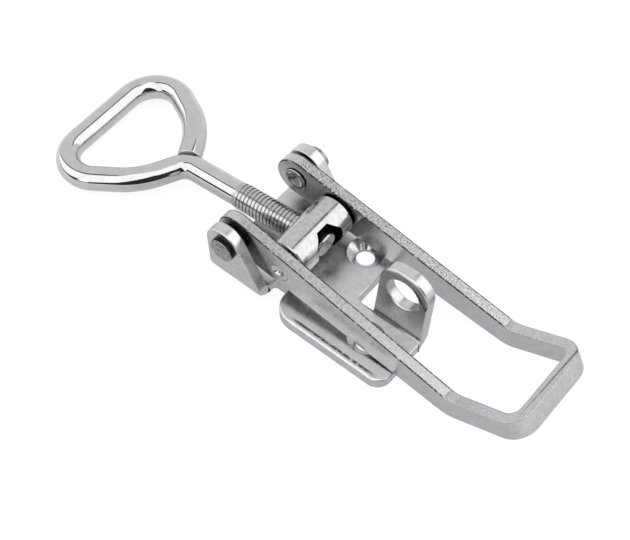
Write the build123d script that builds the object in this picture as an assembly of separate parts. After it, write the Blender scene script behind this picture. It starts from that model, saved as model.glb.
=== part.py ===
from build123d import *
from math import acos, asin, atan2, cos, hypot, pi, radians, sin, tan
import os

# Over centre toggle latch with an adjustable eye bolt and a padlock lug, drawn closed.
# Millimetres. X runs from the eye to the handle, Y across the latch, Z up from the mounting
# plane. The origin lies on the mounting plane, in the middle of the latch, under the pivot.

# ---------------------------------------------------------------- sheet and bar
plate_thickness = 4.0        # folded base plate
bar_thickness = 4.0          # flat bar of the lever

# ---------------------------------------------------------------- pivot and ears
pivot_height = 18.2          # pivot axis above the mounting plane
arm_gap_pivot = 24.6         # clear width between the arms at the pivot
ear_side_gap = 1.6           # arm's outer face to ear's inner face
ear_front = 6.0              # front edge of plate and ears at the mounting plane, ahead of the pivot
ear_crown_radius = 6.4       # round head of each ear
crown_ahead = 1.0            # its middle lies ahead of the pivot
crown_drop = 0.2             # and a little below it
ear_slope = 31.2             # rear edge of the ear, degrees from upright
ear_foot = 13.3              # where the ears end on the plate
ear_foot_radius = 4.0        # the sloping edge runs down into the foot
ear_bend_inside = 2.5        # inside radius of the fold
ear_bore_radius = 3.5        # hole for the riveted end of the pivot

# ---------------------------------------------------------------- base plate
notch_rear = 18.8            # relief notch between ear and wing: rear side
notch_bottom = 13.9          # and its bottom, from the middle
notch_front_corner = 1.4     # the ear's foot sweeps into the notch
notch_rear_corner = 1.0
plate_half_width = 23.2
wing_front_corner = 7.5
wing_rear_corner = 5.0
floor_rear = 37.4            # the far half of the floor ends here
floor_rear_corner = 3.0
plate_rear = 61.8            # the near strip ends here
strip_edge = 3.2             # inner edge of the strip, near side of the middle
strip_corner = 2.0

# ---------------------------------------------------------------- screw holes
screw_hole_radius = 3.0
countersink_radius = 6.0
countersink_angle = 90.0
screw_spread_x = 19.2        # the two holes lie on a slanting line
screw_spread_y = 24.7
screw_middle_x = 38.3

# ---------------------------------------------------------------- padlock lug
lug_front = 43.7
lug_rear = 61.6
lug_top = 28.9
lug_near_face = 3.1          # near face at the plate, from the middle
lug_lean = 3.6               # the fold stops this many degrees short of upright
lug_bend_inside = 1.0
lug_corner = 7.5
padlock_x = 52.5
padlock_height = 19.5
padlock_radius = 5.7

# ---------------------------------------------------------------- lever
lever_head_radius = 7.3
top_slope = 10.65            # the arm's top edge falls towards the handle, degrees
bottom_slope = 5.9           # so does the bottom edge, so the arm tapers
plate_to_arm = 0.1           # arm's bottom edge above the plate's rear edge
head_blend_x = 8.0           # the head's lower side runs out into the bottom edge here
kick_x = 81.9                # top edge turns up here
kick_length = 25.2
kick_angle = 26.25
grip_depth = 7.3             # depth of the cross grip
kick_radius_top = 7.0
kick_radius_bottom = 10.0
arm_gap_handle = 28.0        # clear width between the arms at the grip
grip_corner_inside = 3.5     # inside radius of the two grip corners

# ---------------------------------------------------------------- trunnion
trunnion_x = 16.45
trunnion_height = 15.0
barrel_radius = 7.0
barrel_end_gap = 0.6         # barrel's end to the arm's inner face
journal_radius = 4.0
running_clearance = 0.05     # radial, for each shaft in its hole
mouth_across_flats = 11.6    # eight-sided mouth of the threaded hole on the handle side
mouth_offset = 0.8           # its middle lies this far to the far side of the bolt
mouth_depth = 5.0            # measured from the barrel's crest
barrel_chamfer = 0.5
centre_radius = 2.4          # lathe centre in each end
centre_angle = 90.0

# ---------------------------------------------------------------- pivot rivets
rivet_radius = 4.0           # the part that carries the arm
rivet_collar_radius = 4.6    # spaces the arm from the ear
collar_to_arm = 0.1
rivet_stand_in = 0.6         # inner end proud of the arm
rivet_head_radius = 4.2
rivet_head_height = 1.9
rivet_centre_radius = 2.9
rivet_centre_angle = 110.0

# ---------------------------------------------------------------- eye bolt
droop = 7.0                  # the bolt falls towards the eye, degrees
rod_radius = 4.05
thread_radius = 4.4          # over the crests
thread_tip = 6.0             # tip of the screw, past the trunnion axis
thread_end = 29.9            # start of the thread on the eye side
thread_chamfer = 0.45
neck_at = 51.8               # the shank turns off its axis here
neck_angle = 60.0
neck_radius = 6.5
leg_apex = 34.0              # the straight legs of the eye would meet here
knee_radius = 27.0
eye_front = 89.0             # front bar of the eye, on its centreline
eye_half_width = 22.9        # centreline at the widest point
eye_corner = 11.0            # bend at the far end of the front bar
eye_corner_near = 10.4
eye_shift = 1.4              # the eye sits this far to the near side of the shank
butt_gap = 0.15              # the rod's free end to the shank it butts against

# ---------------------------------------------------------------- worked out once
plate_top = plate_thickness
arm_inner = arm_gap_pivot / 2
arm_outer = arm_inner + bar_thickness
ear_inner = arm_outer + ear_side_gap
ear_outer = ear_inner + plate_thickness
floor_half = ear_inner - ear_bend_inside


def on_side(points):
    """Closed face through (x, z) points, drawn in the XZ plane."""
    outline = Polyline(*[(x, 0, z) for x, z in points], close=True)
    return make_face(outline)


def through_width(face, half_width):
    """A face of the XZ plane carried to both sides of the middle."""
    return extrude(face, amount=half_width, dir=(0, 1, 0), both=True)


def y_cylinder(radius, y_from, y_to, x, z):
    """Cylinder along Y between two faces."""
    plane = Plane(origin=(x, y_from, z), x_dir=(1, 0, 0), z_dir=(0, 1 if y_to > y_from else -1, 0))
    return plane * Cylinder(radius, abs(y_to - y_from), align=(Align.CENTER, Align.CENTER, Align.MIN))


def centre_cone(radius, angle, y, side, x, z):
    """Cone cut by a centre drill in an end face at y, open towards side (+1 or -1 along Y)."""
    depth = radius / tan(radians(angle / 2))
    plane = Plane(origin=(x, y, z), x_dir=(1, 0, 0), z_dir=(0, -side, 0))
    cone = Cone(radius, 0, depth, align=(Align.CENTER, Align.CENTER, Align.MIN))
    return plane * cone


# ================================================================= base plate
def ear_outline():
    """Side view of plate front and ear: a round crown on a foot that slopes back."""
    crown_x = -crown_ahead
    crown_z = pivot_height - crown_drop
    slope = radians(ear_slope)
    rear_x = crown_x + ear_crown_radius * cos(slope)
    rear_z = crown_z + ear_crown_radius * sin(slope)
    foot_z = rear_z - (ear_foot - rear_x) / tan(slope)
    # the front edge leans forward: a line from the plate's front corner that touches the crown
    front_run = ear_front + crown_x
    lean = atan2(crown_z, front_run) + asin(ear_crown_radius / hypot(front_run, crown_z)) - pi / 2
    front_x = crown_x - ear_crown_radius * cos(lean)
    front_z = crown_z - ear_crown_radius * sin(lean)
    blade = on_side([
        (-ear_front, 0), (front_x, front_z), (crown_x, crown_z),
        (rear_x, rear_z), (ear_foot, foot_z), (ear_foot, 0),
    ])
    blade = fillet(blade.vertices().sort_by_distance((ear_foot, 0, foot_z))[0], ear_foot_radius)
    crown = Plane((crown_x, 0, crown_z), x_dir=(1, 0, 0), z_dir=(0, -1, 0)) * Circle(ear_crown_radius)
    return blade + crown


def folded_front():
    """Floor between the ears and both ears, one U section trimmed to the ears' outline."""
    top = pivot_height + 3 * ear_crown_radius
    corners = [
        (-ear_outer, 0), (ear_outer, 0), (ear_outer, top), (ear_inner, top),
        (ear_inner, plate_top), (-ear_inner, plate_top), (-ear_inner, top), (-ear_outer, top),
    ]
    section = make_face(Polyline(*[(0, y, z) for y, z in corners], close=True))
    section = section.moved(Location((-2 * ear_front, 0, 0)))
    bent = extrude(section, amount=2 * ear_front + ear_foot, dir=(1, 0, 0))
    long_edges = bent.edges().filter_by(Axis.X)
    outside = long_edges.filter_by(lambda e: e.center().Z < 0.01)
    bent = fillet(outside, ear_bend_inside + plate_thickness)
    inside = bent.edges().filter_by(Axis.X).filter_by(
        lambda e: abs(e.center().Z - plate_top) < 0.01 and abs(abs(e.center().Y) - ear_inner) < 0.01)
    bent = fillet(inside, ear_bend_inside)
    return bent & through_width(ear_outline(), 2 * ear_outer)


def flat_outline():
    """Plan of the flat part: floor, two wings and the near strip."""
    lug_foot = lug_near_face + lug_bend_inside
    # a wing's front corner takes no more than the wall between its notch and its side
    wing_wall = plate_half_width - notch_bottom - notch_rear_corner
    wing_corner = min(wing_front_corner, 0.98 * wing_wall)
    points = [
        (0, -floor_half), (ear_foot, -floor_half), (ear_foot, -notch_bottom), (notch_rear, -notch_bottom),
        (notch_rear, -plate_half_width), (plate_rear, -plate_half_width),
        (plate_rear, -lug_foot), (lug_front, -lug_foot), (lug_front, -strip_edge),
        (floor_rear, -strip_edge), (floor_rear, plate_half_width),
        (notch_rear, plate_half_width), (notch_rear, notch_bottom), (ear_foot, notch_bottom),
        (ear_foot, floor_half), (0, floor_half),
    ]
    radii = [
        0, 0, notch_front_corner, notch_rear_corner, wing_corner, wing_rear_corner, 0, 0, 0,
        strip_corner, floor_rear_corner, wing_corner, notch_rear_corner, notch_front_corner, 0, 0,
    ]
    return make_face(FilletPolyline(*points, radius=radii, close=True))


def lug_plate():
    """Padlock lug: an L section folded up from the strip, rounded at the top, with its hole."""
    lean = radians(lug_lean)
    up = Vector(0, sin(lean), cos(lean))
    across = Vector(0, cos(lean), -sin(lean))
    near_foot = Vector(0, -lug_near_face, plate_top)
    far = near_foot + across * plate_thickness
    far_foot = far - up * (far.Z / up.Z)
    reach = 1.2 * lug_top
    tail = 2 * (plate_thickness + lug_bend_inside)
    section = make_face(FilletPolyline(
        (0, -lug_near_face - tail, 0), far_foot, far + up * reach, near_foot + up * reach,
        near_foot, (0, -lug_near_face - tail, plate_top),
        radius=[0, lug_bend_inside + plate_thickness, 0, 0, lug_bend_inside, 0], close=True))
    bent = extrude(section.moved(Location((lug_front, 0, 0))), amount=lug_rear - lug_front, dir=(1, 0, 0))
    outline = on_side([(lug_front, 0), (lug_rear, 0), (lug_rear, lug_top), (lug_front, lug_top)])
    tops = outline.vertices().filter_by(lambda v: v.Z > lug_top / 2)
    bent = bent & through_width(fillet(tops, lug_corner), plate_half_width)
    hole_middle = near_foot + up * ((padlock_height - plate_top) / up.Z)
    bore = Plane(origin=(padlock_x, hole_middle.Y, hole_middle.Z), x_dir=(1, 0, 0), z_dir=across)
    return bent - bore * Cylinder(padlock_radius, 6 * plate_thickness)


def screw_hole(x, y):
    """Through hole with a countersink from the top face."""
    sink_depth = (countersink_radius - screw_hole_radius) / tan(radians(countersink_angle / 2))
    drill = Pos(x, y, 0) * Cylinder(screw_hole_radius, 4 * plate_thickness)
    sink = Pos(x, y, plate_top - sink_depth / 2) * Cone(screw_hole_radius, countersink_radius, sink_depth)
    return drill + sink


def base_plate():
    floor = extrude(flat_outline(), amount=plate_thickness)
    plate = folded_front() + floor + lug_plate()
    for side in (-1, 1):
        plate -= y_cylinder(ear_bore_radius, side * (ear_inner - 1), side * (ear_outer + 1), 0, pivot_height)
        plate -= screw_hole(screw_middle_x - side * screw_spread_x / 2, side * screw_spread_y / 2)
    return plate


# ================================================================= lever
def lever_side():
    """Side view of the lever: round head, tapering arm, kicked-up grip."""
    fall = radians(top_slope)
    low = radians(bottom_slope)
    kick = radians(kick_angle)
    head_top = (lever_head_radius * sin(fall), pivot_height + lever_head_radius * cos(fall))
    kick_top = (kick_x, head_top[1] - (kick_x - head_top[0]) * tan(fall))
    grip_top = (kick_x + kick_length * cos(kick), kick_top[1] + kick_length * sin(kick))
    grip_low = (grip_top[0] + grip_depth * sin(kick), grip_top[1] - grip_depth * cos(kick))
    rear_z = plate_top + plate_to_arm
    blend = (head_blend_x, rear_z + (plate_rear - head_blend_x) * tan(low))
    run = ((grip_low[0] - plate_rear) * tan(kick) - (grip_low[1] - rear_z)) / (tan(kick) + tan(low))
    kick_low = (plate_rear + run, rear_z - run * tan(low))
    head_low_angle = atan2(blend[1] - pivot_height, blend[0])
    reach = hypot(blend[0], blend[1] - pivot_height)
    touch = head_low_angle - acos(lever_head_radius / reach)
    head_low = (lever_head_radius * cos(touch), pivot_height + lever_head_radius * sin(touch))
    arm = on_side([(0, pivot_height), head_top, kick_top, grip_top, grip_low, kick_low, blend, head_low])
    arm = fillet(arm.vertices().sort_by_distance((kick_top[0], 0, kick_top[1]))[0], kick_radius_top)
    arm = fillet(arm.vertices().sort_by_distance((kick_low[0], 0, kick_low[1]))[0], kick_radius_bottom)
    head = Plane((0, 0, pivot_height), x_dir=(1, 0, 0), z_dir=(0, -1, 0)) * Circle(lever_head_radius)
    return arm + head, grip_top


def lever_plan(grip_s):
    """The bar bent to a U, in a plane square to the grip: two arms that open out and a cross grip."""
    start = -4 * lever_head_radius
    pivot_s = pivot_height * sin(radians(kick_angle))
    slope = (arm_gap_handle - arm_gap_pivot) / 2 / (grip_s - bar_thickness - pivot_s)
    gap_start = arm_inner + slope * (start - pivot_s)
    gap_end = arm_inner + slope * (grip_s - pivot_s)
    inner_end = grip_s - bar_thickness
    gap_inner_end = arm_inner + slope * (inner_end - pivot_s)
    outer = FilletPolyline(
        (start, -gap_start - bar_thickness), (grip_s, -gap_end - bar_thickness),
        (grip_s, gap_end + bar_thickness), (start, gap_start + bar_thickness),
        radius=[0, grip_corner_inside + bar_thickness, grip_corner_inside + bar_thickness, 0], close=True)
    inner = FilletPolyline(
        (start, -gap_start), (inner_end, -gap_inner_end), (inner_end, gap_inner_end), (start, gap_start),
        radius=[0, grip_corner_inside, grip_corner_inside, 0], close=True)
    return make_face(outer) - make_face(inner)


def lever():
    side, grip_top = lever_side()
    kick = radians(kick_angle)
    grip_s = grip_top[0] * cos(kick) + grip_top[1] * sin(kick)
    square_to_grip = Plane((0, 0, 0), x_dir=(cos(kick), 0, sin(kick)), z_dir=(-sin(kick), 0, cos(kick)))
    bent = extrude(square_to_grip * lever_plan(grip_s), amount=4 * grip_s, both=True)
    body = bent & through_width(side, arm_gap_handle)
    reach = arm_gap_handle
    body -= y_cylinder(rivet_radius + running_clearance, -reach, reach, 0, pivot_height)
    body -= y_cylinder(journal_radius + running_clearance, -reach, reach, trunnion_x, trunnion_height)
    return body


# ================================================================= trunnion
def bolt_plane(along):
    """Plane square to the bolt, at a distance along it from the trunnion axis towards the handle."""
    fall = radians(droop)
    axis = Vector(cos(fall), 0, sin(fall))
    middle = Vector(trunnion_x, 0, trunnion_height) + axis * along
    return Plane(origin=middle, x_dir=(0, 1, 0), z_dir=axis)


def bolt_cylinder(radius, start, end):
    """Cylinder on the bolt's axis between two distances from the trunnion axis."""
    return bolt_plane(start) * Cylinder(radius, end - start, align=(Align.CENTER, Align.CENTER, Align.MIN))


def trunnion():
    arm_slope = (arm_gap_handle - arm_gap_pivot) / 2 / (kick_x + kick_length)
    barrel_half = arm_inner + arm_slope * (trunnion_x - barrel_radius) - barrel_end_gap
    journal_half = arm_outer + arm_slope * trunnion_x
    body = y_cylinder(barrel_radius, -barrel_half, barrel_half, trunnion_x, trunnion_height)
    body = chamfer(body.edges().filter_by(GeomType.CIRCLE), barrel_chamfer)
    body += y_cylinder(journal_radius, -journal_half, journal_half, trunnion_x, trunnion_height)
    for side in (-1, 1):
        end = side * journal_half
        body -= centre_cone(centre_radius, centre_angle, end, side, trunnion_x, trunnion_height)
    body -= bolt_cylinder(thread_radius + running_clearance, -2 * barrel_radius, 2 * barrel_radius)
    eight_sides = RegularPolygon(mouth_across_flats / 2, 8, major_radius=False, rotation=22.5)
    mouth = bolt_plane(barrel_radius - mouth_depth) * Pos(mouth_offset, 0) * eight_sides
    return body - extrude(mouth, amount=2 * mouth_depth)


# ================================================================= pivot rivets
def pivot_rivet(side):
    """Shouldered rivet: head outside the ear, collar in the gap, journal through the arm."""
    head_face = ear_outer + rivet_head_height
    arm_slope = (arm_gap_handle - arm_gap_pivot) / 2 / (kick_x + kick_length)
    collar_face = arm_outer + arm_slope * rivet_collar_radius + collar_to_arm
    inner_end = side * (arm_inner - rivet_stand_in)
    head = y_cylinder(rivet_head_radius, side * ear_outer, side * head_face, 0, pivot_height)
    body = head + y_cylinder(ear_bore_radius, side * ear_inner, side * ear_outer, 0, pivot_height)
    body += y_cylinder(rivet_collar_radius, side * collar_face, side * ear_inner, 0, pivot_height)
    body += y_cylinder(rivet_radius, inner_end, side * collar_face, 0, pivot_height)
    return body - centre_cone(rivet_centre_radius, rivet_centre_angle, inner_end, -side, 0, pivot_height)


# ================================================================= eye bolt
def eye_bolt():
    """Rod with a threaded end, bent round to an eye whose free end butts against the shank."""
    centre_u = eye_front - eye_corner
    centre_y = eye_half_width - eye_corner
    reach = hypot(centre_u - leg_apex, centre_y)
    leg = atan2(centre_y, centre_u - leg_apex) + asin(eye_corner / reach)
    corner_y = (eye_front - leg_apex) * tan(leg)
    neck = radians(neck_angle)
    knee_y = (neck_at - leg_apex) / (1 / tan(leg) - 1 / tan(neck))
    knee_u = neck_at + knee_y / tan(neck)
    # the free end is cut square and just clears the outside of the neck bend
    outside_neck = neck_radius + rod_radius + butt_gap
    free = outside_neck - neck_radius * (tan(neck / 2) * cos(neck) + sin(neck))
    end_u = neck_at + free * cos(neck)
    end_y = free * sin(neck)
    plane = bolt_plane(0)
    path_plane = Plane(origin=plane.origin, x_dir=plane.z_dir, z_dir=plane.z_dir.cross(Vector(0, 1, 0)))
    points = [
        (thread_tip, 0), (-neck_at, 0), (-knee_u, -knee_y), (-eye_front, -corner_y - eye_shift),
        (-eye_front, corner_y - eye_shift), (-knee_u, knee_y), (-end_u, end_y),
    ]
    radii = [neck_radius, knee_radius, eye_corner_near, eye_corner, knee_radius]
    path = path_plane * FilletPolyline(*points, radius=radii)
    rod = sweep(bolt_plane(thread_tip) * Circle(rod_radius), path=path)
    screw = bolt_cylinder(thread_radius, -thread_end, thread_tip)
    screw = chamfer(screw.edges().filter_by(GeomType.CIRCLE), thread_chamfer)
    return rod + screw


nodes = {
    "base_plate": base_plate(),
    "lever": lever(),
    "trunnion": trunnion(),
    "eye_bolt": eye_bolt(),
    "pivot_rivet_near": pivot_rivet(-1),
    "pivot_rivet_far": pivot_rivet(1),
}
os.makedirs("parts", exist_ok=True)
for name, shape in nodes.items():
    export_step(shape, f"parts/{name}.step")
    print(name, round(shape.volume, 1), "mm3")
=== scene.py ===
import bmesh
import bpy
import numpy as np
from mathutils import Matrix, Vector


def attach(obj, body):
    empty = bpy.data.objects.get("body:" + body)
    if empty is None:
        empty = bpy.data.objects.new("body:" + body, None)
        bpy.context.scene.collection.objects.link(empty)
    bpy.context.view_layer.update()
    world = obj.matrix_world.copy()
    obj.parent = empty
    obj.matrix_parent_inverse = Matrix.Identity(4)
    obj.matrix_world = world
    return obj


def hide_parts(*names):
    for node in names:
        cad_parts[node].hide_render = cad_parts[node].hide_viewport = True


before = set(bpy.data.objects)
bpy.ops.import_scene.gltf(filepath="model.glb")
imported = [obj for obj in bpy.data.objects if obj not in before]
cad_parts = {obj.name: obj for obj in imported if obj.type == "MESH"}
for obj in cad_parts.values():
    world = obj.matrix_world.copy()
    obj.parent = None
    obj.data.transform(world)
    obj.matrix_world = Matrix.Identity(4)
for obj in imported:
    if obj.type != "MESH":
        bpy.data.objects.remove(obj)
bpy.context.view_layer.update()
mm = 0.001  # everything below is written in millimetres, and this turns it to metres


# ---- small helpers

def linear(hexColour):
    # sRGB hex to the linear colour that a shader socket takes
    parts = [int(hexColour[i:i + 2], 16) / 255 for i in (1, 3, 5)]
    return [c / 12.92 if c <= 0.04045 else ((c + 0.055) / 1.055) ** 2.4 for c in parts] + [1.0]


def addNode(tree, kind, settings=None, links=None):
    # one node, with its fixed settings and inputs, and what is plugged into it
    node = tree.nodes.new(kind)
    for name, value in (settings or {}).items():
        if isinstance(name, int) or name in node.inputs:
            node.inputs[name].default_value = value
        else:
            setattr(node, name, value)
    for name, socket in (links or {}).items():
        tree.links.new(socket, node.inputs[name])
    return node


def newMaterial(name):
    material = bpy.data.materials.new(name)
    material.use_nodes = True
    material.node_tree.nodes.clear()
    return material, material.node_tree


def band(tree, value, start, end, edge):
    # 1 where the value lies between start and end, 0 elsewhere, with soft edges
    rise = addNode(tree, "ShaderNodeMapRange", {
        "interpolation_type": "SMOOTHSTEP", "From Min": start - edge, "From Max": start + edge},
        {"Value": value})
    fall = addNode(tree, "ShaderNodeMapRange", {
        "interpolation_type": "SMOOTHSTEP", "From Min": end - edge, "From Max": end + edge,
        "To Min": 1.0, "To Max": 0.0}, {"Value": value})
    return addNode(tree, "ShaderNodeMath", {"operation": "MULTIPLY"}, {
        0: rise.outputs[0], 1: fall.outputs[0]}).outputs[0]


def roundedPath(points, radii, arcStep):
    # a polyline whose inner corners are arcs: straight runs keep their heading, and along an arc the
    # heading turns evenly, so a point is the arc's middle plus its radius square to the heading
    points = np.array(points, float)
    runs = np.diff(points, axis=0)
    lengths = np.hypot(runs[:, 0], runs[:, 1])
    headings = np.unwrap(np.arctan2(runs[:, 1], runs[:, 0]))
    place, turn = [points[0]], [headings[0]]
    for i, radius in enumerate(radii):
        bend = headings[i + 1] - headings[i]
        cut = radius * np.tan(abs(bend) / 2)
        start = points[i + 1] - runs[i] / lengths[i] * cut
        side = np.sign(bend)
        middle = start + side * radius * np.array([-np.sin(headings[i]), np.cos(headings[i])])
        steps = max(2, int(np.ceil(np.degrees(abs(bend)) / arcStep)) + 1)
        angles = np.linspace(headings[i], headings[i + 1], steps)
        place += list(middle - side * radius * np.stack([-np.sin(angles), np.cos(angles)], 1))
        turn += list(angles)
    place, turn = np.array(place + [points[-1]]), np.array(turn + [headings[-1]])
    along = np.concatenate([[0], np.cumsum(np.hypot(*np.diff(place, axis=0).T))])
    return place, turn, along


def gridMesh(name, points, capStart=False, capEnd=False, uv=None):
    # rows of points, each row a closed ring: neighbours are joined by four-sided faces, and an end
    # may be closed by one face; uv gives each row's and each column's place in millimetres
    rows, ring = points.shape[:2]
    index = np.arange(rows * ring).reshape(rows, ring)
    after = np.roll(index, -1, axis=1)
    quads = np.stack([index[:-1], after[:-1], after[1:], index[1:]], -1).reshape(-1, 4)
    faces = quads.tolist()
    faces += [index[0, ::-1].tolist()] if capStart else []
    faces += [index[-1].tolist()] if capEnd else []
    mesh = bpy.data.meshes.new(name)
    mesh.from_pydata((points.reshape(-1, 3) * mm).tolist(), [], faces)
    if uv:
        column = np.broadcast_to(np.arange(ring)[None, :], (rows - 1, ring))
        u = np.stack([uv[0][:-1, None] + 0 * column, uv[0][:-1, None] + 0 * column,
                      uv[0][1:, None] + 0 * column, uv[0][1:, None] + 0 * column], -1)
        v = np.stack([column, column + 1, column + 1, column], -1) * uv[1] / ring
        flat = np.zeros((len(mesh.loops), 2), np.float32)
        flat[:u.size] = np.stack([u, v], -1).reshape(-1, 2)
        layer = mesh.uv_layers.new(name="alongAndAround")
        layer.data.foreach_set("uv", flat.ravel())
    return mesh


def addPiece(name, mesh, materials, body, slot, *nodes):
    for material in materials:
        mesh.materials.append(material)
    piece = bpy.data.objects.new(name, mesh)
    bpy.context.collection.objects.link(piece)
    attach(piece, body)
    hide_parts(*nodes)
    print("piece", name, len(mesh.polygons), "faces")
    return piece


def smoothBelow(mesh, degrees):
    mesh.polygons.foreach_set("use_smooth", [True] * len(mesh.polygons))
    mesh.set_sharp_from_angle(angle=np.radians(degrees))


def faceData(mesh):
    # each face's normal, and its middle in millimetres
    facing, middle = np.zeros(len(mesh.polygons) * 3), np.zeros(len(mesh.polygons) * 3)
    mesh.polygons.foreach_get("normal", facing)
    mesh.polygons.foreach_get("center", middle)
    return facing.reshape(-1, 3), middle.reshape(-1, 3) / mm


def setFinish(mesh, index):
    # which of its piece's materials each face takes
    mesh.polygons.foreach_set("material_index", index.astype(np.int32))


# ---- finishes

plating = {  # what all the finishes share; a span gives the noise's or the gap's values at its two ends
    "cloudSpan": (0.32, 0.68), "sheenSpan": (0.3, 0.7), "speckSpan": (0.34, 0.46),
    "gapSpan": (0.15, 0.6), "gapReach": 2.5, "gapSamples": 6,
}


def paintedDarkLine(tree, spot, shade, line):
    # dark broken marks painted into the colour inside a box along the latch, across it and in height: on the
    # wing a painted dark reflection along the line the tool pressed, on the lever's edges a darkening in
    # short lengths
    x, y, z = addNode(tree, "ShaderNodeSeparateXYZ", {}, {0: spot.outputs[0]}).outputs
    speck = addNode(tree, "ShaderNodeTexNoise", {
        "Scale": 1 / line["speck"], "Detail": 3.0}, {"Vector": spot.outputs[0]})
    share = addNode(tree, "ShaderNodeMapRange", {
        "From Min": plating["speckSpan"][0], "From Max": plating["speckSpan"][1]},
        {"Value": speck.outputs["Fac"]}).outputs[0]
    for axis, (start, end, edge) in ((x, line["along"]), (y, line["across"]), (z, line["height"])):
        inside = band(tree, axis, start, end, edge)
        share = addNode(tree, "ShaderNodeMath", {"operation": "MULTIPLY"}, {0: share, 1: inside}).outputs[0]
    kept = addNode(tree, "ShaderNodeMapRange", {"To Min": 1.0, "To Max": line["dark"]}, {"Value": share})
    return addNode(tree, "ShaderNodeMath", {"operation": "MULTIPLY"}, {
        0: shade, 1: kept.outputs[0]}).outputs[0]


def zincFinish(name, look):
    # bright zinc on steel: a pale, slightly cloudy metal; cloud is the plating's soft mottle, wave
    # the unevenness left by rolling and pressing, grain the fine drawn or sheared lines, and the look's gap
    # value how dark the colour is painted, as painted shade, where another surface is very close; sizes and
    # depths in millimetres
    material, tree = newMaterial(name)
    place = addNode(tree, "ShaderNodeTexCoord").outputs["Object"]
    spot = addNode(tree, "ShaderNodeMapping", {"Scale": (1 / mm, 1 / mm, 1 / mm)}, {"Vector": place})
    cloud = addNode(tree, "ShaderNodeTexNoise", {
        "Scale": 1 / look["cloudSize"], "Detail": 4.0, "Roughness": 0.6}, {"Vector": spot.outputs[0]})
    colour = addNode(tree, "ShaderNodeValToRGB", links={"Fac": cloud.outputs["Fac"]})
    for stop, at, tone in zip(colour.color_ramp.elements, plating["cloudSpan"], ("dark", "light")):
        stop.position = at
        stop.color = linear(look[tone])
    sheen = addNode(tree, "ShaderNodeMapRange", {
        "From Min": plating["sheenSpan"][0], "From Max": plating["sheenSpan"][1],
        "To Min": look["rough"][0], "To Max": look["rough"][1]}, {"Value": cloud.outputs["Fac"]})
    # painted shade: the colour is darkened where another surface is very close, in gaps and creases
    openness = addNode(tree, "ShaderNodeAmbientOcclusion", {
        "Distance": plating["gapReach"] * mm, "samples": plating["gapSamples"]})
    creviceShade = addNode(tree, "ShaderNodeMapRange", {
        "From Min": plating["gapSpan"][0], "From Max": plating["gapSpan"][1],
        "To Min": look["gap"], "To Max": 1.0}, {"Value": openness.outputs["AO"]})
    shade = creviceShade.outputs[0]
    if "line" in look:
        shade = paintedDarkLine(tree, spot, shade, look["line"])
    shadedColour = addNode(tree, "ShaderNodeVectorMath", {"operation": "SCALE"}, {
        0: colour.outputs[0], "Scale": shade})
    wave = addNode(tree, "ShaderNodeTexNoise", {
        "Scale": 1 / look["waveSize"], "Detail": 2.0}, {"Vector": spot.outputs[0]})
    lines = addNode(tree, "ShaderNodeMapping", {
        "Scale": tuple(1 / mm / size for size in look["grainSize"])}, {"Vector": place})
    grain = addNode(tree, "ShaderNodeTexNoise", {"Scale": 1.0, "Detail": 3.0}, {"Vector": lines.outputs[0]})
    bumpWide = addNode(tree, "ShaderNodeBump", {
        "Strength": 1.0, "Distance": look["waveDepth"] * mm}, {"Height": wave.outputs["Fac"]})
    bumpFine = addNode(tree, "ShaderNodeBump", {"Strength": 1.0, "Distance": look["grainDepth"] * mm}, {
        "Height": grain.outputs["Fac"], "Normal": bumpWide.outputs[0]})
    shader = addNode(tree, "ShaderNodeBsdfPrincipled", {"Metallic": 1.0}, {
        "Base Color": shadedColour.outputs[0], "Roughness": sheen.outputs[0], "Normal": bumpFine.outputs[0]})
    addNode(tree, "ShaderNodeOutputMaterial", links={"Surface": shader.outputs[0]})
    return material


# pressed sheet, zinc plated: satin and faintly cloudy, with a painted dark reflection along the line where
# the tool pressed the wing
zincSheet = zincFinish("zincPlatedSheet", {
    "dark": "#C0C1C3", "light": "#D3D4D5", "rough": (0.25, 0.35), "cloudSize": 2.2,
    "waveSize": 3.0, "waveDepth": 0.014, "grainSize": (0.5, 0.5, 0.5), "grainDepth": 0.005, "gap": 0.2,
    "line": {"along": (27.0, 57.0, 2.0), "across": (-21.8, -20.95, 0.18), "height": (3.6, 4.4, 0.1),
             "speck": 1.1, "dark": 0.16}})
# the bar's rolled sides, zinc plated: smooth and even, with clearer reflections than the sheet's
zincBar = zincFinish("zincPlatedBar", {
    "dark": "#BBBCBE", "light": "#C9CACB", "rough": (0.18, 0.28), "cloudSize": 1.8,
    "waveSize": 1.6, "waveDepth": 0.006, "grainSize": (0.8, 0.5, 0.3), "grainDepth": 0.008, "gap": 0.2})
# the bar's cut faces: duller and finely grainy, with marks across the bar
cutBar = zincFinish("zincPlatedCutBar", {
    "dark": "#B4B5B7", "light": "#CDCECF", "rough": (0.24, 0.36), "cloudSize": 0.8,
    "waveSize": 1.2, "waveDepth": 0.006, "grainSize": (0.4, 1.0, 0.8), "grainDepth": 0.012, "gap": 0.2})
# a face where the blade tore the steel: coarse bright and dark grains, drawn as coarse as they need to show
tornBar = zincFinish("zincPlatedTornBar", {
    "dark": "#8C8D8F", "light": "#E0E1E2", "rough": (0.22, 0.36), "cloudSize": 0.5,
    "waveSize": 1.2, "waveDepth": 0.01, "grainSize": (0.3, 1.1, 0.7), "grainDepth": 0.034, "gap": 0.2})
# turned, then zinc plated: clear reflections, broken up by fine streaks along the pin
turnedZinc = zincFinish("turnedZinc", {
    "dark": "#B2B3B4", "light": "#C8C9CA", "rough": (0.12, 0.18), "cloudSize": 1.5,
    "waveSize": 3.0, "waveDepth": 0.004, "grainSize": (0.3, 9.0, 0.3), "grainDepth": 0.018, "gap": 0.5})
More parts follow.
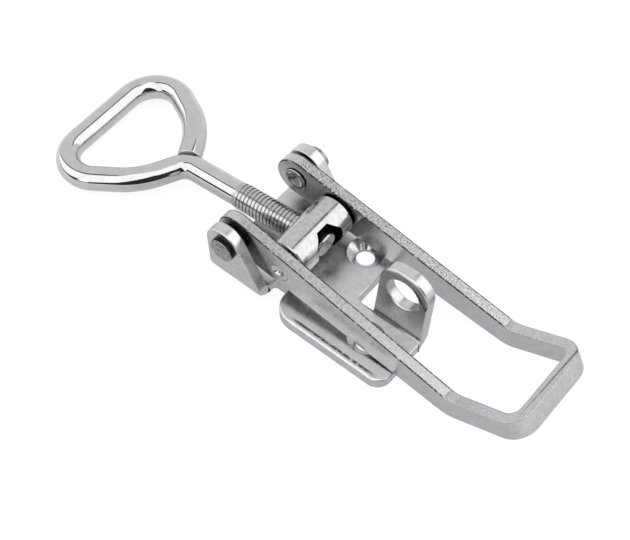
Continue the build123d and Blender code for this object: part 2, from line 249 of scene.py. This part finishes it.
# drawn and polished rod under thin zinc: near a mirror, with no grain to see
polishedRod = zincFinish("drawnRodZinc", {
    "dark": "#BDBDBD", "light": "#C8C8C8", "rough": (0.06, 0.09), "cloudSize": 3.0,
    "waveSize": 5.0, "waveDepth": 0.002, "grainSize": (1.5, 1.5, 1.5), "grainDepth": 0.001, "gap": 0.6})
# rolled thread: burnished ribs, darker and duller than the rod
rolledThread = zincFinish("rolledThreadZinc", {
    "dark": "#A8A8A9", "light": "#C4C4C5", "rough": (0.14, 0.24), "cloudSize": 0.8,
    "waveSize": 1.2, "waveDepth": 0.003, "grainSize": (0.4, 0.4, 0.4), "grainDepth": 0.002, "gap": 0.5})
# the rivets' faces and the screw's end: dark grey, shiny and a little dimpled
rivetZinc = zincFinish("rivetZinc", {
    "dark": "#6C6D6F", "light": "#AEAFB0", "rough": (0.10, 0.22), "cloudSize": 1.1,
    "waveSize": 1.6, "waveDepth": 0.012, "grainSize": (0.4, 0.4, 0.4), "grainDepth": 0.003, "gap": 0.4})
# painted shade: nearly black and dull, standing in for the shade deep in the pin's mouth, on the screw's
# turns inside it and in the gaps round the rivets' sides
paintedShadeSteel = zincFinish("paintedShadeBlackSteel", {
    "dark": "#161617", "light": "#262627", "rough": (0.35, 0.5), "cloudSize": 1.0,
    "waveSize": 1.5, "waveDepth": 0.01, "grainSize": (0.4, 0.4, 0.4), "grainDepth": 0.004, "gap": 0.3})
# the bar's rolled-over edges: dull, and darkened in short lengths ahead of the kick
brokenEdge = zincFinish("shearedZincEdge", {
    "dark": "#A6A7A8", "light": "#C8C8C9", "rough": (0.45, 0.6), "cloudSize": 0.6,
    "waveSize": 1.0, "waveDepth": 0.01, "grainSize": (0.4, 0.4, 0.4), "grainDepth": 0.006, "gap": 0.4,
    "line": {"along": (-9.0, 79.5, 1.0), "across": (-30.0, 30.0, 1.0), "height": (0.0, 40.0, 1.0),
             "speck": 0.75, "dark": 0.1}})


# ---- eye bolt: drawn rod with a rolled thread, bent round to a triangular eye

eyeBolt = {
    "trunnion": (16.45, 0.0, 15.0), "droop": 7.0, "rodRadius": 4.05, "crestRadius": 4.4, "pitch": 1.4,
    "threadDepth": 0.45, "crestShare": 0.58, "flankShare": 0.36, "flankSoftness": 0.35,
    "tip": 6.0, "tipChamfer": 0.55, "tipSlant": 0.16, "threadEnd": 29.9, "runOutTurns": 1.6,
    # the next two values, along the screw, bound the turns painted near black as the shade in the pin's mouth
    "mouthShadeFrom": -1.0, "unshadedTip": 0.75, "neckAt": 51.8, "neckAngle": 60.0, "neckRadius": 6.5,
    "legApex": 34.0, "kneeRadius": 27.0, "eyeFront": 89.0, "halfWidth": 22.9, "corner": 11.0,
    "cornerNear": 10.4, "shift": 1.4, "buttGap": -0.75,  # below 0 the free end sits inside the shank's skin
    "endRounding": 0.3, "arcStep": 4.0, "ring": 64, "rowsPerTurn": 12, "sharpFrom": 50.0,
}


def onBolt(along, across, above):
    # a place given along the screw, across the latch and square to both, in the latch's own axes
    fall = np.radians(eyeBolt["droop"])
    middle = eyeBolt["trunnion"]
    return np.stack([
        middle[0] + along * np.cos(fall) - above * np.sin(fall),
        middle[1] + across + 0 * along, middle[2] + along * np.sin(fall) + above * np.cos(fall)], -1)


def eyePath():
    # the rod's centreline: down the shank, out at the neck, round the eye and back to the shank
    b = eyeBolt
    centreAlong, centreAcross = b["eyeFront"] - b["corner"], b["halfWidth"] - b["corner"]
    reach = np.hypot(centreAlong - b["legApex"], centreAcross)
    leg = np.arctan2(centreAcross, centreAlong - b["legApex"]) + np.arcsin(b["corner"] / reach)
    neck = np.radians(b["neckAngle"])
    cornerAcross = (b["eyeFront"] - b["legApex"]) * np.tan(leg)
    kneeAcross = (b["neckAt"] - b["legApex"]) / (1 / np.tan(leg) - 1 / np.tan(neck))
    kneeAlong = b["neckAt"] + kneeAcross / np.tan(neck)
    outside = b["neckRadius"] + b["rodRadius"] + b["buttGap"]
    free = outside - b["neckRadius"] * (np.tan(neck / 2) * np.cos(neck) + np.sin(neck))
    points = [
        (-b["threadEnd"], 0), (-b["neckAt"], 0), (-kneeAlong, -kneeAcross),
        (-b["eyeFront"], -cornerAcross - b["shift"]), (-b["eyeFront"], cornerAcross - b["shift"]),
        (-kneeAlong, kneeAcross), (-b["neckAt"] - free * np.cos(neck), free * np.sin(neck))]
    radii = [b["neckRadius"], b["kneeRadius"], b["cornerNear"], b["corner"], b["kneeRadius"]]
    return roundedPath(points, radii, b["arcStep"])


def rodMesh():
    # a ring square to the centreline at each of its points; the free end is cut square and its rim
    # is a quarter round
    b = eyeBolt
    place, turn, along = eyePath()
    bend = np.linspace(0, np.pi / 2, 5)
    setBack = b["endRounding"] * (1 - np.sin(bend))
    heading = np.array([np.cos(turn[-1]), np.sin(turn[-1])])
    place = np.concatenate([place[:-1], place[-1] - setBack[:, None] * heading])
    rim = b["rodRadius"] - b["endRounding"] * (1 - np.cos(bend))
    radius = np.concatenate([np.full(len(turn) - 1, b["rodRadius"]), rim])
    turn = np.concatenate([turn[:-1], np.full(len(bend), turn[-1])])
    along = np.concatenate([along[:-1], along[-1] - setBack])
    around = np.arange(b["ring"]) * 2 * np.pi / b["ring"]
    side = radius[:, None] * np.cos(around)
    points = onBolt(place[:, :1] - np.sin(turn)[:, None] * side, place[:, 1:] + np.cos(turn)[:, None] * side,
                    radius[:, None] * np.sin(around))
    return gridMesh("eyeRod", points, capEnd=True, uv=(along, 2 * np.pi * b["rodRadius"]))


def threadMesh():
    # rows follow the helix: each lies a fixed part of the pitch behind the last and moves one pitch
    # along in a turn; the radius falls from crest to root and back within a pitch, is held under the
    # 45 degree chamfer at the tip, and sinks to the rod's over the run-out turns at the other end; the
    # end face is a little slanted and a hair domed
    b = eyeBolt
    around = np.arange(b["ring"]) * 2 * np.pi / b["ring"]
    tipRadius = b["crestRadius"] - b["tipChamfer"]
    start, end = -b["threadEnd"], b["tip"] + b["tipSlant"] * tipRadius * np.sin(around)
    # the first row starts just over a turn early, so that every column reaches back to the start
    first = np.arange(start - 1.02 * b["pitch"], end.max() + 0.01, b["pitch"] / b["rowsPerTurn"])
    along = first[:, None] + b["pitch"] * around[None, :] / (2 * np.pi)
    phase = np.mod(first / b["pitch"], 1.0)[:, None] + 0 * around[None, :]
    flank = (np.abs(phase - 0.5) * 2 - b["crestShare"]) / b["flankShare"]
    flank = np.clip(flank, 0, 1)  # 0 on the crest, 1 in the root
    eased = flank * flank * (3 - 2 * flank)
    flank = eased * b["flankSoftness"] + flank * (1 - b["flankSoftness"])
    cut = b["crestRadius"] - b["threadDepth"] * flank
    runOut = np.clip((along - start) / (b["runOutTurns"] * b["pitch"]), 0, 1)
    radius = b["rodRadius"] + (cut - b["rodRadius"]) * runOut
    radius = np.minimum(radius, tipRadius + np.maximum(end - along, 0))
    along = np.clip(along, start, end)
    points = onBolt(along, radius * np.cos(around), radius * np.sin(around))
    faceRings = np.array([0.985, 0.9, 0.6, 0.3, 0.06])[:, None]  # the end face's rings, in tip radii
    dome = 0.02 * (1 - faceRings)
    faceRadius = tipRadius * faceRings
    face = onBolt(b["tip"] + b["tipSlant"] * faceRadius * np.sin(around) + dome,
                  faceRadius * np.cos(around), faceRadius * np.sin(around))
    mesh = gridMesh("eyeThread", np.concatenate([points[:, ::-1], face[:, ::-1]]), capEnd=True)
    mesh.flip_normals()
    solid = bmesh.new()  # rows held at the two ends lie on one another, and are merged
    solid.from_mesh(mesh)
    bmesh.ops.remove_doubles(solid, verts=solid.verts, dist=0.004 * mm)
    bmesh.ops.dissolve_degenerate(solid, edges=solid.edges, dist=0.003 * mm)
    solid.to_mesh(mesh)
    solid.free()
    return mesh


def threadFinish(mesh):
    # 0 for the ribs and the chamfer, 1 for the turns behind the chamfer, painted near black as the shade
    # inside the pin's mouth, 2 for the end face, by each face's distance along the screw against the slanted
    # end's
    fall = np.radians(eyeBolt["droop"])
    middle = faceData(mesh)[1] - np.array(eyeBolt["trunnion"])
    along = middle[:, 0] * np.cos(fall) + middle[:, 2] * np.sin(fall)
    above = middle[:, 2] * np.cos(fall) - middle[:, 0] * np.sin(fall)
    endFace = eyeBolt["tip"] + eyeBolt["tipSlant"] * above
    mouthShaded = (along > eyeBolt["mouthShadeFrom"]) & (along < endFace - eyeBolt["unshadedTip"])
    sawn = along > endFace - 0.03  # the face itself, with room for its dome
    return np.where(sawn, 2, np.where(mouthShaded, 1, 0))


rod = rodMesh()
smoothBelow(rod, eyeBolt["sharpFrom"])
addPiece("eyeRod", rod, [polishedRod], "eye_bolt", "bright_rod", "eye_bolt")
thread = threadMesh()
smoothBelow(thread, eyeBolt["sharpFrom"])
addPiece("eyeThread", thread, [rolledThread, paintedShadeSteel, rivetZinc], "eye_bolt", "bright_rod", "eye_bolt")
setFinish(thread, threadFinish(thread))


# ---- pivot rivets: turned, with a head outside the ear and a lathe centre in the inner end

rivet = {
    "pivot": (0.0, 18.2), "earInner": 17.9, "earOuter": 21.9, "earRadius": 3.5, "headRadius": 4.2,
    "headHeight": 1.9, "headRounding": 0.3, "collarRadius": 4.6, "collarFace": 16.47, "shankRadius": 4.0,
    "innerEnd": 11.7, "endRounding": 0.3, "centreRadius": 2.9, "centreAngle": 110.0, "centreTip": 0.02,
    "arcStep": 15.0, "ring": 72, "sharpFrom": 40.0,
}


def rivetMesh(name, side):
    # a profile of distance from the middle and radius, with rounded rims, turned once about the pivot
    r = rivet
    depth = r["centreRadius"] / np.tan(np.radians(r["centreAngle"] / 2))
    headEnd = r["earOuter"] + r["headHeight"]
    profile = [
        (r["innerEnd"] + depth, r["centreTip"]), (r["innerEnd"], r["centreRadius"]),
        (r["innerEnd"], r["shankRadius"]), (r["collarFace"], r["shankRadius"]),
        (r["collarFace"], r["collarRadius"]), (r["earInner"], r["collarRadius"]),
        (r["earInner"], r["earRadius"]), (r["earOuter"], r["earRadius"]), (r["earOuter"], r["headRadius"]),
        (headEnd, r["headRadius"]), (headEnd, r["centreTip"])]
    radii = [0.35, r["endRounding"], 0.05, 0.2, 0.2, 0.05, 0.05, 0.15, r["headRounding"]]  # one a corner
    place = roundedPath(profile, radii, r["arcStep"])[0]
    around = np.arange(r["ring"]) * 2 * np.pi / r["ring"]
    points = np.stack([
        r["pivot"][0] + place[:, 1:] * np.cos(around),
        side * place[:, :1] + 0 * around, r["pivot"][1] + place[:, 1:] * np.sin(around)], -1)
    mesh = gridMesh(name, points, capStart=True, capEnd=True)
    if side > 0:
        mesh.flip_normals()
    return mesh


def rivetFinish(mesh):
    # 0 for the flat ends and the far head, 1 for the turned sides, whose normals are square to the
    # pivot and which are painted near black up to the far head as the shade in the gaps beside the ears, 2
    # for the lathe centre's slanting wall
    facing, middle = faceData(mesh)
    lean, across = np.abs(facing[:, 1]), middle[:, 1]
    sides = (lean < 0.2) & (across < rivet["earOuter"])
    centre = (lean > 0.2) & (lean < 0.95) & (np.abs(across) < rivet["collarFace"])
    return np.where(centre, 2, np.where(sides, 1, 0))


for name, side, node in (("rivetNear", -1, "pivot_rivet_near"), ("rivetFar", 1, "pivot_rivet_far")):
    turned = rivetMesh(name, side)
    smoothBelow(turned, rivet["sharpFrom"])
    addPiece(name, turned, [rivetZinc, paintedShadeSteel, turnedZinc], "base", "rivet_steel", node)
    setFinish(turned, rivetFinish(turned))


# ---- folded sheet, lever and cross pin: the solids' own skins with their sharp edges rolled over

skinning = {  # merge in millimetres, flat and sharpFrom in degrees between two faces
    "merge": 0.002, "flat": 0.4, "sharpFrom": 32.0, "segments": 4,
}


def rolledSkin(name, look, rule):
    # the node's loose triangles as one closed skin, flat areas joined up; each sharp edge carries its
    # own share of the widest roll. A few of the large joined faces don't fill cleanly once they are
    # rolled, which shows most along the top of the lever's grip
    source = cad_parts[look["node"]].data
    points = np.zeros(len(source.vertices) * 3, np.float32)
    source.vertices.foreach_get("co", points)
    corners = np.zeros(len(source.loops), np.int32)
    source.loops.foreach_get("vertex_index", corners)
    mesh = bpy.data.meshes.new(name)
    mesh.from_pydata(points.reshape(-1, 3).tolist(), [], corners.reshape(-1, 3).tolist())
    skin = bmesh.new()
    skin.from_mesh(mesh)
    bmesh.ops.remove_doubles(skin, verts=skin.verts, dist=skinning["merge"] * mm)
    flat = np.radians(skinning["flat"])
    bmesh.ops.dissolve_limit(skin, angle_limit=flat, verts=skin.verts, edges=skin.edges)
    pairs = np.array([(*edge.link_faces[0].normal, *edge.link_faces[1].normal,
                       *(edge.verts[0].co + edge.verts[1].co)) for edge in skin.edges])
    skin.to_mesh(mesh)
    skin.free()
    one, other, middle = pairs[:, :3], pairs[:, 3:6], pairs[:, 6:] / 2 / mm
    sharp = (one * other).sum(1) < np.cos(np.radians(skinning["sharpFrom"]))
    weight = np.where(sharp, rule(middle, one, other) / look["roll"], 0.0)
    layer = mesh.attributes.new("bevel_weight_edge", "FLOAT", "EDGE")
    layer.data.foreach_set("value", weight.astype(np.float32))
    mesh.polygons.foreach_set("use_smooth", [True] * len(mesh.polygons))
    return mesh


foldedBase = {
    "node": "base_plate", "body": "base", "slot": "plated_sheet", "finish": [zincSheet, turnedZinc],
    "roll": 1.3, "plainRoll": 0.45, "underRoll": 0.25, "lugRoll": 0.75, "holeRoll": 0.12,
    "wingRun": ((19.5, 0.0), (25.0, 1.0), (57.0, 1.0), (61.5, 0.0)),  # place along, share of the wide roll
    "wingFrom": -15.0, "wingEnd": 61.79, "top": 3.9, "lugFrom": 43.0, "lugReach": 5.5, "lugRise": (6.0, 11.0),
    "footAlong": (43.7, 0.8), "footAcross": (-4.5, 4.0), "footTop": 7.0,  # middle and reach
    "screwHoles": ((28.7, 12.35), (47.9, -12.35)), "holeReach": 6.5, "machinedReach": 6.1,
}


def baseRolls(middle, one, other):
    # widest on the near wing's upper edge, where it runs out to the plain roll round both corners;
    # next on the lug's near face and hole, above the bend; keen on the underside and round the screw
    # holes, and none at the front of the lug's foot, where a roll would sink below the mounting plane
    b = foldedBase
    x, y, z = middle.T
    rolls = np.where(np.minimum(one[:, 2], other[:, 2]) < -0.9, b["underRoll"], b["plainRoll"])
    top = (np.maximum(one[:, 2], other[:, 2]) > 0.9) & (z > b["top"])
    share = np.interp(x, *zip(*b["wingRun"]))
    wide = b["plainRoll"] + share * (b["roll"] - b["plainRoll"])
    rolls = np.where(top & (y < b["wingFrom"]) & (x < b["wingEnd"]), wide, rolls)
    lug = (np.abs(y) < b["lugReach"]) & (x > b["lugFrom"]) & (np.minimum(one[:, 1], other[:, 1]) < -0.8)
    rolls = np.where(lug, np.interp(z, b["lugRise"], [b["plainRoll"], b["lugRoll"]]), rolls)
    alongFoot = np.abs(x - b["footAlong"][0]) < b["footAlong"][1]
    acrossFoot = np.abs(y - b["footAcross"][0]) < b["footAcross"][1]
    rolls = np.where(alongFoot & acrossFoot & (z < b["footTop"]), 0.0, rolls)
    for holeX, holeY in b["screwHoles"]:
        rolls = np.where(np.hypot(x - holeX, y - holeY) < b["holeReach"], b["holeRoll"], rolls)
    return rolls


def baseFinish(mesh):
    # 1 for the countersinks and screw holes, which are machined and brighter than the sheet
    facing, middle = faceData(mesh)
    machined = np.zeros(len(middle), bool)
    for holeX, holeY in foldedBase["screwHoles"]:
        close = np.hypot(middle[:, 0] - holeX, middle[:, 1] - holeY) < foldedBase["machinedReach"]
        machined |= close & (np.abs(facing[:, 2]) < 0.95)
    return machined


uLever = {
    "node": "lever", "body": "lever", "slot": "plated_bar", "finish": [zincBar, brokenEdge, cutBar, tornBar],
    "roll": 0.6, "plainRoll": 0.36, "boreRoll": 0.06, "boreReach": 4.6, "farArm": 5.0,
    "edgeFinish": 1,  # the place of brokenEdge in the list above
}


def leverRolls(middle, one, other):
    # the bar's upper edge is broken more on the side turned to +Y; its bores keep keen rims
    x, z = middle[:, 0], middle[:, 2]
    atRivet = np.hypot(x - rivet["pivot"][0], z - rivet["pivot"][1]) < uLever["boreReach"]
    atPin = np.hypot(x - eyeBolt["trunnion"][0], z - eyeBolt["trunnion"][2]) < uLever["boreReach"]
    wide = (np.maximum(one[:, 2], other[:, 2]) > 0.7) & (np.maximum(one[:, 1], other[:, 1]) > 0.7)
    rolls = np.where(wide, uLever["roll"], uLever["plainRoll"])
    return np.where(atRivet | atPin, uLever["boreRoll"], rolls)


def leverFinish(mesh):
    # 2 for the bar's upper and lower faces, which were cut and are rougher than its rolled sides; 3
    # for the far arm's sloping one, ahead of the kick, which is torn as well
    facing, middle = faceData(mesh)
    cut = np.abs(facing[:, 2]) > 0.7
    torn = cut & (facing[:, 0] > 0.1) & (middle[:, 1] > uLever["farArm"])
    return np.where(torn, 3, np.where(cut, 2, 0))


crossPin = {
    "node": "trunnion", "body": "trunnion", "slot": "turned_pin", "finish": [turnedZinc, paintedShadeSteel],
    "roll": 0.10, "innerRadius": 6.85, "innerReach": 6.8,  # just inside the barrel's skin and its ends
}


def pinRolls(middle, one, other):
    return np.full(len(middle), crossPin["roll"])


def pinFinish(mesh):
    # 1 for the faces inside the barrel, nearer its axis than its skin: the mouth and the threaded hole,
    # painted near black as the shade inside them
    middle = faceData(mesh)[1] - np.array(eyeBolt["trunnion"])
    inside = np.hypot(middle[:, 0], middle[:, 2]) < crossPin["innerRadius"]
    return inside & (np.abs(middle[:, 1]) < crossPin["innerReach"])


for name, look, rule, finish in (
        ("foldedBase", foldedBase, baseRolls, baseFinish), ("uLever", uLever, leverRolls, leverFinish),
        ("crossPin", crossPin, pinRolls, pinFinish)):
    mesh = rolledSkin(name, look, rule)
    piece = addPiece(name, mesh, look["finish"], look["body"], look["slot"], look["node"])
    setFinish(mesh, finish(mesh))
    bevel = piece.modifiers.new("rolledEdge", "BEVEL")
    bevel.width = look["roll"] * mm
    bevel.segments = skinning["segments"]
    bevel.limit_method = "WEIGHT"
    bevel.use_clamp_overlap = False
    bevel.miter_outer = "MITER_ARC"
    bevel.material = look.get("edgeFinish", -1)  # -1 keeps the finish of the faces beside the edge
    level = piece.modifiers.new("flatFacesFirst", "WEIGHTED_NORMAL")
    level.keep_sharp = True


# ---- camera, floor and light

view = {  # where the lens stands, which way it looks, and how far the frame is shifted off its axis
    "azimuth": 39.453, "elevation": 55.440, "roll": 0.248,
    "place": (181.278, -216.491, 402.089), "lens": 87.827, "sensor": 36.0, "shift": (0.05837, -0.03113),
    "clip": (10.0, 10000.0),
}


def placeCamera():
    a, e, r = np.radians([view["azimuth"], view["elevation"], view["roll"]])
    back = Vector((np.sin(a) * np.cos(e), -np.cos(a) * np.cos(e), np.sin(e)))
    right = Vector((np.cos(a), np.sin(a), 0))
    up = back.cross(right)
    rightRolled = right * np.cos(r) + up * np.sin(r)
    upRolled = up * np.cos(r) - right * np.sin(r)
    data = bpy.data.cameras.new("camera")
    data.sensor_fit = "HORIZONTAL"
    data.sensor_width = view["sensor"]
    data.lens = view["lens"]
    data.shift_x, data.shift_y = view["shift"]
    data.clip_start, data.clip_end = (distance * mm for distance in view["clip"])
    camera = bpy.data.objects.new("camera", data)
    turn = Matrix((rightRolled, upRolled, back)).transposed().to_4x4()
    camera.matrix_world = Matrix.Translation(Vector(view["place"]) * mm) @ turn
    bpy.context.collection.objects.link(camera)
    bpy.context.scene.camera = camera


floorLook = {  # mirrors see a shadier paper close to the latch, and the same white as the lens far off
    "halfWidth": 1500.0, "paper": "#808080", "glow": 0.84, "shadeMiddle": (45.0, -10.0, 0.0),
    "shadeReach": (70.0, 140.0), "shade": 0.6,
}


def makeFloor():
    # matt white paper: part of its white is its own glow to the lens and to mirrors, and the rest is
    # lit, so the latch's soft shadow stays on it
    half = floorLook["halfWidth"] * mm
    mesh = bpy.data.meshes.new("floor")
    corners = [(-half, -half, 0), (half, -half, 0), (half, half, 0), (-half, half, 0)]
    mesh.from_pydata(corners, [], [(0, 1, 2, 3)])
    floor = bpy.data.objects.new("floor", mesh)
    bpy.context.collection.objects.link(floor)
    material, tree = newMaterial("paperWhite")
    path = addNode(tree, "ShaderNodeLightPath")
    place = addNode(tree, "ShaderNodeTexCoord")
    middle = tuple(m * mm for m in floorLook["shadeMiddle"])
    away = addNode(tree, "ShaderNodeVectorMath", {"operation": "DISTANCE", 1: middle}, {
        0: place.outputs["Object"]})
    bright = addNode(tree, "ShaderNodeMapRange", {
        "From Min": floorLook["shadeReach"][0] * mm, "From Max": floorLook["shadeReach"][1] * mm,
        "To Min": floorLook["shade"], "To Max": 1.0}, {"Value": away.outputs["Value"]})
    mirrored = addNode(tree, "ShaderNodeMath", {"operation": "MULTIPLY"}, {
        0: path.outputs["Is Glossy Ray"], 1: bright.outputs[0]})
    seen = addNode(tree, "ShaderNodeMath", {"operation": "ADD"}, {
        0: path.outputs["Is Camera Ray"], 1: mirrored.outputs[0]})
    seen = addNode(tree, "ShaderNodeMath", {"operation": "ADD", "use_clamp": True}, {
        0: seen.outputs[0], 1: path.outputs["Is Transmission Ray"]})
    glow = addNode(tree, "ShaderNodeMath", {"operation": "MULTIPLY", 1: floorLook["glow"]}, {
        0: seen.outputs[0]})
    diffuse = addNode(tree, "ShaderNodeBsdfDiffuse", {"Color": linear(floorLook["paper"])})
    light = addNode(tree, "ShaderNodeEmission", {"Color": (1, 1, 1, 1)}, {"Strength": glow.outputs[0]})
    both = addNode(tree, "ShaderNodeAddShader", {}, {0: diffuse.outputs[0], 1: light.outputs[0]})
    addNode(tree, "ShaderNodeOutputMaterial", links={"Surface": both.outputs[0]})
    mesh.materials.append(material)


studio = {  # how bright each part of the room is, as a mirror would see it, and how two parts slope
    "room": 0.95, "softbox": 1.75, "flag": 0.03, "softFlag": 0.2, "lensSide": 0.04,
    "flagSlant": 15.0, "flagRun": (-0.8, -0.2),  # degrees, gained between these two directions along x
    "boxSlant": 57.0, "boxRun": (0.14, 0.52),
}


def makeWorld():
    # a pale room with softboxes: on the eye's side one stands between two black flags, of which the
    # lower slopes; the lens's side is nearly black but for a sloping one overhead; and at the rear
    # one lies below a grey flag
    world = bpy.data.worlds.new("studio")
    bpy.context.scene.world = world
    world.use_nodes = True
    tree = world.node_tree
    tree.nodes.clear()
    place = addNode(tree, "ShaderNodeTexCoord")
    x, y, z = addNode(tree, "ShaderNodeSeparateXYZ", {}, {0: place.outputs["Generated"]}).outputs
    minusY = addNode(tree, "ShaderNodeMath", {"operation": "MULTIPLY", 1: -1.0}, {0: y}).outputs[0]
    lean = {}  # degrees from overhead, towards the near side or towards the handle
    for name, socket in (("near", minusY), ("rear", x)):
        turn = addNode(tree, "ShaderNodeMath", {"operation": "ARCTAN2"}, {0: socket, 1: z})
        degrees = addNode(tree, "ShaderNodeMath", {"operation": "DEGREES"}, {0: turn.outputs[0]})
        lean[name] = degrees.outputs[0]
    for name, run, gain in (("nearFlag", studio["flagRun"], (0.0, studio["flagSlant"])),
                            ("lensBox", studio["boxRun"], (-studio["boxSlant"], 0.0))):
        slant = addNode(tree, "ShaderNodeMapRange", {
            "From Min": run[0], "From Max": run[1], "To Min": gain[0], "To Max": gain[1]}, {"Value": x})
        lean[name] = addNode(tree, "ShaderNodeMath", {"operation": "ADD"}, {
            0: lean["near"], 1: slant.outputs[0]}).outputs[0]
    nearSide = band(tree, x, -1.1, -0.26, 0.06)
    lensSide = band(tree, x, -0.26, 1.1, 0.06)
    rearSide = band(tree, y, 0.15, 0.75, 0.05)
    level = addNode(tree, "ShaderNodeMath", {"operation": "ADD", 0: studio["room"], 1: 0.0}).outputs[0]
    for angle, side, start, end, edge, bright in (  # each strip's place and softness in degrees
            (lean["near"], lensSide, 0.0, 88.0, 1.0, studio["lensSide"]),
            (lean["lensBox"], lensSide, -studio["boxSlant"], 25.0, 1.0, studio["softbox"]),
            (lean["near"], nearSide, 8.0, 17.0, 0.6, studio["flag"]),
            (lean["near"], nearSide, 17.0, 81.5, 0.6, studio["softbox"]),
            (lean["nearFlag"], nearSide, 82.0, 89.5 + studio["flagSlant"], 0.6, studio["flag"]),
            (lean["rear"], rearSide, -7.5, 3.1, 1.2, studio["softFlag"]),
            (lean["rear"], rearSide, 3.5, 80.0, 0.8, studio["softbox"])):
        inside = band(tree, angle, start, end, edge)
        share = addNode(tree, "ShaderNodeMath", {"operation": "MULTIPLY"}, {0: inside, 1: side}).outputs[0]
        mixed = addNode(tree, "ShaderNodeMix", {"data_type": "FLOAT", "B": bright}, {
            "Factor": share, "A": level})
        level = mixed.outputs[0]
    sky = addNode(tree, "ShaderNodeBackground", {"Color": (1, 1, 1, 1)}, {"Strength": level})
    addNode(tree, "ShaderNodeOutputWorld", links={"Surface": sky.outputs[0]})


placeCamera()
makeFloor()
makeWorld()
bpy.context.scene.view_settings.view_transform = "Standard"
print("camera, floor and light in place")
